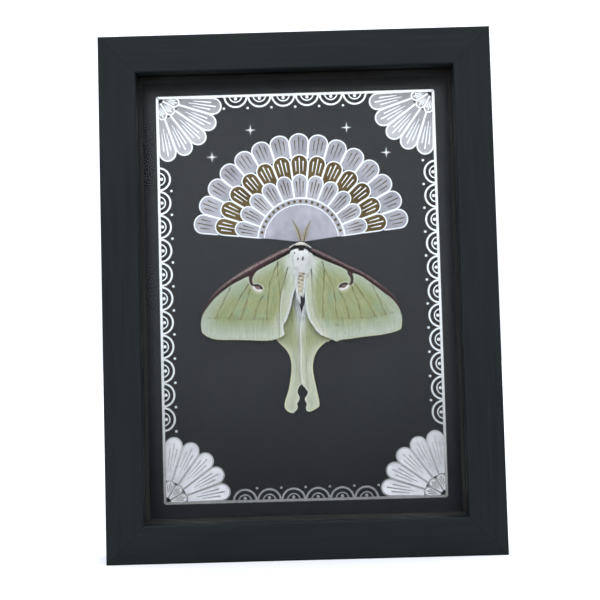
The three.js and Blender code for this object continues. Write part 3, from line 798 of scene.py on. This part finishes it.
def spikes(roots, flows, lengths, widths):
    """Hairs as closed three-sided spikes with a flat side to the front: corners, in metres, and faces."""
    flows = flows / np.linalg.norm(flows, axis=1, keepdims=True)
    across = np.cross(flows, (0, -1, 0))
    across /= np.linalg.norm(across, axis=1, keepdims=True)
    lift = np.cross(across, flows)
    rows = []
    for share, girth, bow in ((0, 1, 0), (0.5, 0.85, 0.08)):
        centre = roots + (flows * share + lift * bow) * lengths[:, None]
        for turn in (math.pi / 6, 5 * math.pi / 6, 3 * math.pi / 2):
            spoke = across * math.cos(turn) + lift * math.sin(turn)
            rows.append(centre + spoke * (widths * girth / 2)[:, None])
    rows.append(roots + flows * lengths[:, None])
    pattern = ((0, 1, 4, 3), (1, 2, 5, 4), (2, 0, 3, 5), (3, 4, 6), (4, 5, 6), (5, 3, 6), (2, 1, 0))
    faces = [[first + k for k in face] for first in range(0, 7 * len(roots), 7) for face in pattern]
    return np.stack(rows, axis=1).reshape(-1, 3) * MM, faces


def hairs(name, material, roots, flows, length, width, tone):
    """A coat of hairs. Roots are (x, z, height) of the moth, and flows (x, z, height) directions."""
    count = len(roots)
    x, z, height = roots.T
    start = np.stack([x + MOTH_X, CARD_FACE - height, z + MOTH_Z], axis=1)
    course = np.stack([flows[:, 0], -flows[:, 2], flows[:, 1]], axis=1)
    lengths = length * random.uniform(0.6, 1.2, count)
    widths = width * random.uniform(0.7, 1.2, count)
    corners, faces = spikes(start, course, lengths, widths)
    mesh = bpy.data.meshes.new(name)
    mesh.from_pydata(corners.tolist(), [], faces)
    keep_tone(mesh, np.repeat(tone, 7, axis=0))
    show(name, mesh, material, smooth=False)


def coat(count, low, high, rise, stray):
    """Random roots on the front of the body, with hairs that follow it to the tail and stand off by rise."""
    z = random.uniform(low, high, count)
    turn = random.uniform(-1.6, 1.6, count)
    radius = body_radius(z)
    lean = rise - (radius - body_radius(z - 0.6)) / 0.6
    roots = np.stack([radius * np.sin(turn) + BODY_LEAN * z, z, BODY_HEIGHT + radius * np.cos(turn)], axis=1)
    flows = np.stack([
        np.sin(turn) * lean + random.normal(0, stray, count),
        -np.ones(count),
        np.cos(turn) * lean + random.normal(0, stray / 2, count),
    ], axis=1)
    return roots, flows


def mottled(count, dark, light):
    """A random tone between two paints for each hair."""
    return blend(np.tile(linear(dark), (count, 1)), light, random.uniform(0, 1, count))


def moth_coat(material):
    """Hair of the thorax and abdomen, longer down both flanks and over the waist, with dark rubbed spots."""
    roots, flows = coat(4200, -5.2, 3.6, 0.2, 0.2)
    hairs("thorax_hair", material, roots, flows, 1.4, 0.16, body_tone(roots[:, 0], roots[:, 1]))
    roots, flows = coat(3600, -14.9, -4.6, 0.14, 0.12)
    loose = roots + random.normal(0, 0.07, roots.shape)
    hairs("abdomen_hair", material, roots, flows, 0.7, 0.13, body_tone(loose[:, 0], loose[:, 1]))
    count = 1800
    side = random.choice([-1, 1], count)
    z = random.uniform(np.where(side < 0, -16, -13.5), -1.5)
    x = side * (body_radius(z) * 0.9 + random.uniform(0, np.where(side < 0, 0.7, 0.4))) + BODY_LEAN * z
    roots = np.stack([x, z, BODY_HEIGHT + random.uniform(0.3, 1.5, count)], axis=1)
    flows = np.column_stack([side * random.uniform(-0.16, 0.08, count), -np.ones(count),
                             random.uniform(-0.08, 0.06, count)])
    hairs("flank_hair", material, roots, flows, 2.4, 0.13, mottled(count, "#d9dedc", "#ffffff"))
    roots, flows = coat(900, -4.2, -1.6, 0.1, 0.1)
    aside = np.abs(roots[:, 0] - BODY_LEAN * roots[:, 1])
    flows[:, [0, 2]] *= 0.3
    hairs("thorax_skirt", material, roots, flows, 1.2 + 0.6 * aside, 0.15,
          mottled(900, "#eceeee", "#ffffff"))
    for k, (x, z, size) in enumerate(RUBBED_SPOTS):
        place = random.normal((x, z), (0.5 * size, size), (90, 2))
        place[:, 0] += 0.3 * (place[:, 1] - z)
        roots = np.column_stack([place, over_body(*place.T) + random.uniform(0.2, 0.5, 90)])
        flows = np.tile((0.05, -1, 0.1), (90, 1))
        tone = mottled(90, "#17120f", "#3a322d")
        hairs("rubbed_spot_" + str(k + 1), material, roots, flows, 0.4, 0.14, tone)


def along_line(line, count, half_width, bulge):
    """Random roots in a band on the body and the wing roots, wider by a bulge in its middle."""
    share = random.uniform(0, 1, count)
    place = curve(line, share)
    middle = ease(0.28, 0.02, np.abs(share - 0.52))
    x = place[:, 0]
    z = place[:, 1] + random.uniform(-1, 1, count) * (half_width + bulge * middle)
    return np.stack([x, z, over_body(x, z) + random.uniform(0.05, 0.35, count)], axis=1)


def collar_hair(material):
    """A black collar that runs out along the wing roots, and a pale fringe over the head above it."""
    roots = along_line(COLLAR, 3800, 0.4, 0.1)
    throat = np.stack([random.uniform(-0.8, 1.3, 700), random.uniform(2.9, 4.1, 700)], axis=1)
    throat = np.column_stack([throat, over_body(*throat.T) + random.uniform(0.1, 0.4, 700)])
    roots = np.vstack([roots, throat])
    count = len(roots)
    flows = np.column_stack([0.15 * roots[:, 0] + random.normal(0, 0.15, count), np.full(count, -0.8),
                             np.full(count, 0.2)])
    hairs("collar_hair", material, roots, flows, 0.5, 0.17, mottled(count, "#0d0a09", "#221a15"))
    roots = along_line(FRINGE, 2600, 0.06, 0.5)
    count = len(roots)
    flows = np.stack([roots[:, 0] + random.normal(0, 0.5, count), random.normal(-0.5, 0.3, count),
                      np.full(count, 0.3)], axis=1)
    hairs("head_hair", material, roots, flows, 0.45, 0.13, mottled(count, "#e6decd", "#ffffff"))
    roots = along_line(BROW, 260, 0.08, 0)
    flows = np.stack([random.normal(0, 0.6, 260), np.full(260, 0.5), np.full(260, 0.5)], axis=1)
    hairs("brow_hair", material, roots, flows, 0.35, 0.13, mottled(260, "#3d3327", "#6d6150"))


def wing_root_hair(material):
    """Long soft hair that sweeps from the thorax over the wing roots and thins out on the wings."""
    count = 2400
    side = random.choice([-1, 1], count)
    z = random.uniform(-5.5, 3.4, count)
    x = side * (body_radius(z) * 0.85 + random.uniform(0, 1, count) ** 2 * 1.5) + BODY_LEAN * z
    collar = curve(COLLAR, np.linspace(0, 1, 80))
    z = np.minimum(z, np.interp(x, collar[:, 0], collar[:, 1]) - 0.5)
    height = over_body(x, z) + random.uniform(0, 0.35, count)
    flows = np.column_stack([side * random.uniform(-0.25, 0.3, count), -np.ones(count),
                             random.uniform(-0.08, 0.05, count)])
    roots = np.stack([x, z, height], axis=1)
    hairs("wing_root_hair", material, roots, flows, 2.2, 0.1, mottled(count, "#dfe4da", "#ffffff"))


def hindwing_hair(material):
    """Long pale hair along the inner edges of the hindwings, on both sides of the gap below the abdomen."""
    for side, name, outline in ((-1, "left", HINDWING_LEFT), (1, "right", HINDWING_RIGHT)):
        count = 420
        foot = curve(outline["inner"], random.uniform(0.05, 0.29, count))
        x = foot[:, 0] + side * (0.1 + random.uniform(0, 1, count) ** 1.5 * 1.5)
        roots = np.stack([x, foot[:, 1], np.full(count, outline["base"] + 0.12)], axis=1)
        flows = np.stack([side * random.uniform(-0.08, 0.1, count), -np.ones(count),
                          random.uniform(0.0, 0.06, count)], axis=1)
        tone = mottled(count, "#bcc5c2", "#f4f7f6")
        hairs("hindwing_hair_" + name, material, roots, flows, 2.6, 0.11, tone)


def antenna(side, material):
    """A feathered antenna: a tapered dark shaft with a comb of fine straw rami along both sides."""
    route = ANTENNAE[side]
    form = bmesh.new()
    bmesh.ops.create_cone(form, segments=10, radius1=0.2, radius2=0.1, depth=1, cap_ends=True)
    upright = [edge for edge in form.edges if abs(edge.verts[0].co.z - edge.verts[1].co.z) > 0.5]
    bmesh.ops.subdivide_edges(form, edges=upright, cuts=23)
    for corner in form.verts:
        middle = curve(route, corner.co.z + 0.5)
        corner.co = moth_place((middle[0] + corner.co.x, middle[1]), BODY_HEIGHT + corner.co.y)
    bmesh.ops.recalc_face_normals(form, faces=form.faces)
    mesh = mesh_of("antenna_" + side, form)
    keep_tone(mesh, np.tile(linear("#3d3025"), (len(mesh.vertices), 1)))
    show("antenna_" + side + "_shaft", mesh, material, ["antenna_" + side])
    share = np.tile(np.linspace(0.04, 0.93, RAMI_PER_SIDE), 2)
    hand = np.repeat([-1, 1], RAMI_PER_SIDE)
    feet = curve(route, share)
    run = curve(route, share + 0.02) - curve(route, share - 0.02)
    run /= np.linalg.norm(run, axis=1, keepdims=True)
    across = np.stack([run[:, 1], -run[:, 0]], axis=1) * hand[:, None]
    roots = np.column_stack([feet, np.full(len(feet), BODY_HEIGHT)])
    flows = np.column_stack([across * 0.8 + run * 0.6, np.full(len(feet), 0.1)])
    length = 1.5 * np.sin(np.pi * share ** 0.55) + 0.15
    tone = mottled(len(feet), "#9c937f", "#c4baa4")
    hairs("antenna_" + side + "_rami", material, roots, flows, length, 0.17, tone)


def strip(form, path, width, lift):
    """Adds a flat band along a path of (x, z) places."""
    path = np.asarray(path, float)
    run = np.gradient(path, axis=0)
    if np.allclose(path[0], path[-1]):
        run[0] = run[-1] = path[1] - path[-2]
    side = np.stack([-run[:, 1], run[:, 0]], axis=1) / np.linalg.norm(run, axis=1, keepdims=True)
    half = side * np.broadcast_to(np.asarray(width) / 2, len(path))[:, None]
    last = len(path) - 1

    def place(along, across):
        k = np.rint(along * last).astype(int)
        return card_place(path[k] + half[k] * (2 * across - 1)[:, None], lift)

    spread(form, last, 1, place)


def bead(form, middle, radius, lift):
    """Adds a round dot."""
    disc = bmesh.ops.create_circle(form, cap_ends=True, segments=16, radius=radius)["verts"]
    for corner in disc:
        corner.co = card_place((middle[0] + corner.co.x, middle[1] + corner.co.y), lift)


def plume(focus, heading, half_turn, start, shoulder, crown):
    """A round-ended plume about a focus, placed by shares from root to end and from -1 to 1 across."""
    def place(out, across):
        end = shoulder + (crown - shoulder) * np.sqrt(np.clip(1 - across ** 2, 0, 1))
        reach = start + (end - start) * out
        turn = heading + across * half_turn
        return np.stack([focus[0] + reach * np.sin(turn), focus[1] + reach * np.cos(turn)], axis=-1)
    return place


def plume_edge(place):
    """The line round a plume's sides and end."""
    rise = np.linspace(0, 1, 8)
    sweep = -np.cos(np.linspace(0, np.pi, 21))
    end = place(np.ones(19), sweep[1:-1])
    return np.concatenate([place(rise, -np.ones(8)), end, place(rise[::-1], np.ones(8))])


def fan(forms, focus, heading, tiers, inks, edge_width):
    """A fan of plumes in tiers, the longest at the back, with ribs in them and foil round them."""
    for level, ((start, shoulder, crown, count, reach), ink) in enumerate(zip(tiers, inks)):
        rib_form = "bronze" if ink == "lilac" else "foil"
        half_turn = math.radians(reach) / count
        for k in range(count):
            lift = level * TIER_LIFT + k % 2 * INK_LIFT / 2
            middle = heading + (2 * k + 1 - count) * half_turn
            place = plume(focus, middle, half_turn * 0.95, start, shoulder, crown)
            spread(forms[ink], 6, 12,
                   lambda out, across: card_place(place(out, 2 * across - 1), INK_LIFT + lift))
            strip(forms["foil"], plume_edge(place), edge_width, FOIL_LIFT + lift)
            for across, foot, end in PLUME_RIBS:
                climb = np.linspace(foot, end, 8)
                width = edge_width * np.linspace(0.4, 1, 8)
                strip(forms[rib_form], place(climb, np.full(8, across)), width, BRONZE_LIFT + lift)


def hub(forms, focus, radius, reach):
    """The half-round that the great fan grows from, with two foil rims and a row of beads between them."""
    turn = np.radians(np.linspace(-reach, reach, 61))
    heading = np.stack([np.sin(turn), np.cos(turn)], axis=1)
    lift = len(FAN_TIERS) * TIER_LIFT
    strip(forms["lilac"], focus + heading * radius / 2, radius, INK_LIFT + lift)
    strip(forms["foil"], focus + heading * radius, 0.6, FOIL_LIFT + lift)
    strip(forms["foil"], focus + heading * (radius - HUB_BORDER), 0.35, FOIL_LIFT + lift)
    for spoke in heading[3:-3:3]:
        bead(forms["bronze"], focus + spoke * (radius - HUB_BORDER / 2), 0.6, BRONZE_LIFT + lift)


def arcade(foil, start, end, inwards, gap):
    """A foil rule between two corners of the print, with beaded arches on it, clear of the corner fans."""
    start, end, inwards = np.array(start), np.array(end), np.array(inwards)
    strip(foil, np.linspace(start, end, 24), RULE_WIDTH, FOIL_LIFT + len(CORNER_TIERS) * TIER_LIFT)
    run = end - start
    length = np.linalg.norm(run)
    count = round((length - 2 * gap) / ARCH_PITCH)
    turn = np.linspace(0, np.pi, 19)[:, None]
    for k in range(count):
        foot = start + run * (0.5 + (k + 0.5 - count / 2) * ARCH_PITCH / length)
        for radius, width in ((0.47 * ARCH_PITCH, 0.75), (0.26 * ARCH_PITCH, 0.5)):
            arch = foot + radius * (run / length * np.cos(turn) + inwards * np.sin(turn))
            strip(foil, arch, width, FOIL_LIFT)
        bead(foil, foot + inwards * 0.12 * ARCH_PITCH, 0.65, FOIL_LIFT)
        bead(foil, foot + run / length * ARCH_PITCH / 2 + inwards * 0.52 * ARCH_PITCH, 0.5, FOIL_LIFT)


def star(foil, middle, size):
    """A four-pointed foil star, as two crossed slivers."""
    for heading, lift in ((0, FOIL_LIFT), (np.pi / 2, BRONZE_LIFT)):
        tip = size * np.array([np.sin(heading), np.cos(heading)])
        path = np.linspace(np.array(middle) - tip, np.array(middle) + tip, 13)
        strip(foil, path, 0.06 + 0.3 * size * (1 - np.abs(np.linspace(-1, 1, 13))) ** 1.6, lift)


def card_print():
    """The printed design: inks, bronze ribs and silver foil, each a joined piece that lies on the card."""
    forms = {name: bmesh.new() for name in ("lilac", "pale", "bronze", "foil")}
    fan(forms, FAN_FOCUS, 0, FAN_TIERS, FAN_INKS, 0.5)
    hub(forms, FAN_FOCUS, HUB_RADIUS, FAN_TIERS[0][4])
    for heading in FAN_STARS:
        turn = math.radians(heading)
        away = (FAN_TIERS[0][2] + STAR_GAP) * np.array([math.sin(turn), math.cos(turn)])
        star(forms["foil"], FAN_FOCUS + away, STAR_SIZE)
    corners = ((-PRINT_HALF, PRINT_LOW), (PRINT_HALF, PRINT_LOW),
               (PRINT_HALF, PRINT_HIGH), (-PRINT_HALF, PRINT_HIGH))
    for k, corner in enumerate(corners):
        fan(forms, corner, math.radians(45 - 90 * k), CORNER_TIERS, ("pale", "pale"), 0.6)
        inwards = ((0, 1), (-1, 0), (0, -1), (1, 0))[k]
        arcade(forms["foil"], corner, corners[(k + 1) % 4], inwards, CORNER_TIERS[0][2] + 1)
    finishes = {
        "lilac": ("fan_plumes", printing_ink("lilac_ink", "#a9a8b4", "#cfced8")),
        "pale": ("pale_plumes", printing_ink("pale_ink", "#cfced6", "#efeef3")),
        "bronze": ("bronze_ribs", printing_ink("bronze_ink", "#54431f", "#75623a")),
        "foil": ("foil_lines", silver_foil()),
    }
    for key, (name, material) in finishes.items():
        face_front(forms[key])
        piece = show(name, mesh_of(name, forms[key]), material, smooth=False)
        thicken(piece, INK_LIFT * 0.8)


def moulding_section():
    """The moulding's section, as (inwards from the outer side, back from the front) places."""
    arc = np.linspace(0, np.pi / 2, 7)
    outer = [(EDGE_ROUND * (1 - np.cos(a)), EDGE_ROUND * (1 - np.sin(a))) for a in arc]
    inner = [(RAIL_FACE - EDGE_ROUND * (1 - np.sin(a)), EDGE_ROUND * (1 - np.cos(a))) for a in arc]
    leg = RAIL_FACE - RABBET_WIDTH
    back = [(RAIL_FACE, LIP_DEPTH), (leg, LIP_DEPTH), (leg, FRAME_DEPTH), (0, FRAME_DEPTH)]
    return outer + inner + back


def rail(name, half_length, reach, turn, material):
    """A length of painted moulding whose mitred ends meet its neighbours in a hairline."""
    form = bmesh.new()
    section = moulding_section()
    cap = []
    for inwards, depth in section:
        groove = HAIRLINE if depth < GROOVE_DEPTH else -HAIRLINE / 8
        cap.append(form.verts.new((groove + inwards - half_length, depth - FRAME_DEPTH / 2, inwards)))
    cap = form.faces.new(cap)
    grown = bmesh.ops.extrude_face_region(form, geom=[cap])["geom"]
    for corner in grown:
        if isinstance(corner, bmesh.types.BMVert):
            corner.co.x = -corner.co.x
    bmesh.ops.recalc_face_normals(form, faces=form.faces)
    bmesh.ops.rotate(form, verts=form.verts, cent=(0, 0, 0), matrix=Matrix.Rotation(turn, 3, "Y"))
    middle = (-reach * math.sin(turn), 0, HALF_HEIGHT - reach * math.cos(turn))
    bmesh.ops.translate(form, verts=form.verts, vec=middle)
    bmesh.ops.scale(form, verts=form.verts, vec=(MM, MM, MM))
    mesh = mesh_of(name, form)
    show(name + "_painted", mesh, material, [name])
    mesh.set_sharp_from_angle(angle=math.radians(40))


def rails():
    """The four rails of the frame, with the grain along each of them."""
    across = painted_wood("painted_wood_across", (40, 1.1, 1.1))
    upright = painted_wood("painted_wood_upright", (1.1, 1.1, 40))
    rail("rail_bottom", HALF_WIDTH, HALF_HEIGHT, 0, across)
    rail("rail_left", HALF_HEIGHT, HALF_WIDTH, math.pi / 2, upright)
    rail("rail_top", HALF_WIDTH, HALF_HEIGHT, math.pi, across)
    rail("rail_right", HALF_HEIGHT, HALF_WIDTH, -math.pi / 2, upright)


def dress_case():
    """Gives the carried-over solids of the case their finishes."""
    finishes = {
        black_board(): ["spacer_bottom", "spacer_top", "spacer_left", "spacer_right"],
        black_card(): ["backing_card"],
        hardboard(): ["back_board"],
        zinc_plated_steel(): [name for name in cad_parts
                              if name.startswith(("point_", "sawtooth", "hanger"))],
        float_glass(): ["glass"],
    }
    for material, names in finishes.items():
        for name in names:
            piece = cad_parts[name]
            piece.data.materials.clear()
            piece.data.materials.append(material)
    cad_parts["glass"].visible_shadow = False


def soft_light(name, size, power, place, turn):
    """A square warm-white lamp that lights the object and doesn't show in it."""
    lamp = bpy.data.lights.new(name, "AREA")
    lamp.size = size
    lamp.energy = power
    lamp.color = LAMP_COLOUR
    light = bpy.data.objects.new(name, lamp)
    light.location = place
    light.rotation_euler = [math.radians(angle) for angle in turn]
    light.visible_camera = False
    light.visible_glossy = False
    light.visible_transmission = False
    bpy.context.scene.collection.objects.link(light)


def studio():
    """White floor, white surround that darkens below the horizon, a soft upper right light and a low fill."""
    scene = bpy.context.scene
    form = bmesh.new()
    bmesh.ops.create_grid(form, x_segments=2, y_segments=2, size=20)
    floor = bpy.data.objects.new("floor", mesh_of("floor", form))
    scene.collection.objects.link(floor)
    floor.data.materials.append(white_sweep())
    floor.visible_glossy = False
    floor.visible_transmission = False

    world = bpy.data.worlds.new("studio")
    world.use_nodes = True
    tree = world.node_tree
    tree.nodes.clear()
    heading = add_node(tree, "TexCoord", {}).outputs["Object"]
    upward = add_node(tree, "SeparateXYZ", {"Vector": heading}).outputs["Z"]
    rise = add_node(tree, "MapRange", {"Value": upward, "From Max": 0, "From Min": math.sin(math.radians(-8))},
                    interpolation_type="SMOOTHSTEP")
    colour = add_node(tree, "Mix", {"Factor": rise, "A": linear("#33291f"), "B": linear("#f1f5ff")})
    power = add_node(tree, "MapRange", {"Value": upward, "From Max": math.sin(math.radians(16)),
                                        "To Min": 1.16, "To Max": 1.7})
    sky = add_node(tree, "Background", {"Color": colour, "Strength": power})
    add_node(tree, "OutputWorld", {"Surface": sky})
    scene.world = world

    soft_light("key_light", 0.9, 3.8, (0.55, -0.75, 1.05), (40, 0, 36))
    soft_light("low_fill", 0.5, 1.7, (-0.25, -0.8, 0.05), (94, 0, -17))
    scene.view_settings.view_transform = "Standard"


def photo_camera():
    """A camera close in front of the frame, a little below its middle and looking slightly up."""
    lens = bpy.data.cameras.new("camera")
    lens.sensor_fit = "HORIZONTAL"
    lens.angle = math.radians(CAMERA_ANGLE)
    camera = bpy.data.objects.new("camera", lens)
    camera.location = [place * MM for place in CAMERA_PLACE]
    camera.rotation_euler = [math.radians(turn) for turn in CAMERA_TURN]
    bpy.context.scene.collection.objects.link(camera)
    bpy.context.scene.camera = camera


photo_camera()
studio()
rails()
dress_case()
card_print()
scales = wing_scales()
wing("hindwing_left", HINDWING_LEFT, HINDWING_CELLS, hindwing_height, hindwing_marks, scales)
wing("hindwing_right", HINDWING_RIGHT, HINDWING_CELLS, hindwing_height, hindwing_marks, scales)
wing("forewing_left", FOREWING_LEFT, FOREWING_CELLS, forewing_height, forewing_marks, scales)
wing("forewing_right", FOREWING_RIGHT, FOREWING_CELLS, forewing_height, forewing_marks, scales)
white_hair = moth_hair("moth_hair")
moth_body(white_hair)
moth_coat(white_hair)
collar_hair(white_hair)
wing_root_hair(white_hair)
hindwing_hair(white_hair)
straw = moth_hair("antenna_chitin")
antenna("left", straw)
antenna("right", straw)
